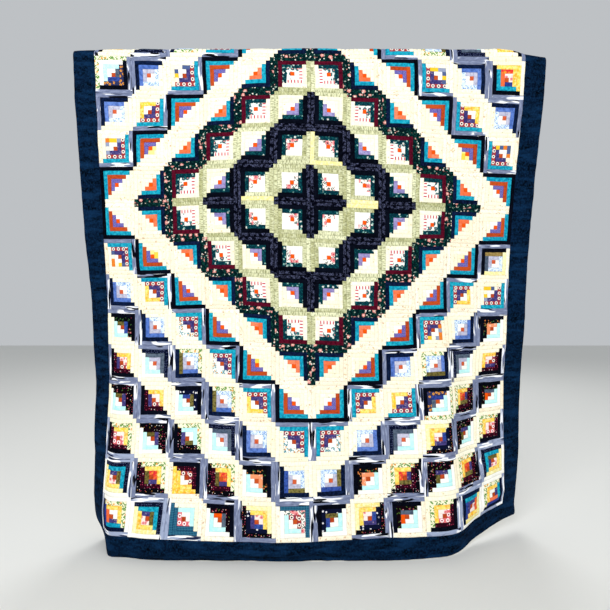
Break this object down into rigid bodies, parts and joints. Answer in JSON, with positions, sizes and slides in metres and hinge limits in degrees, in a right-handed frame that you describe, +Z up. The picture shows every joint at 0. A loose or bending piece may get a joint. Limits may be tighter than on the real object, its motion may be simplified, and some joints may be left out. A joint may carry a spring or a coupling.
{
  "type": "patchwork quilt",
  "caption": "Log cabin patchwork quilt with a plain border, draped over a rail: a long front sheet reaching the floor and a shorter flap behind.",
  "frame": {"origin": "middle of the fold's underside, where the quilt rests on the rail that it hangs over", "axes": "+X across the quilt to the right as seen from the front, +Y away from the front sheet towards the flap behind, +Z up"},
  "size_m": [1.7535, 0.322, 1.8544],
  "materials": {
    "patchwork": "matte printed cotton, pieced in narrow strips of many colours and quilted",
    "border": "matte mottled navy cotton, quilted",
    "backing": "matte unbleached cotton calico"
  },
  "bodies": {
    "root": {"pieced_lower": "patchwork", "pieced_middle": "patchwork", "pieced_top": "patchwork", "pieced_flap": "patchwork", "border_left": "border", "border_right": "border", "border_bottom": "border", "border_top": "border"}
  },
  "joints": []
}
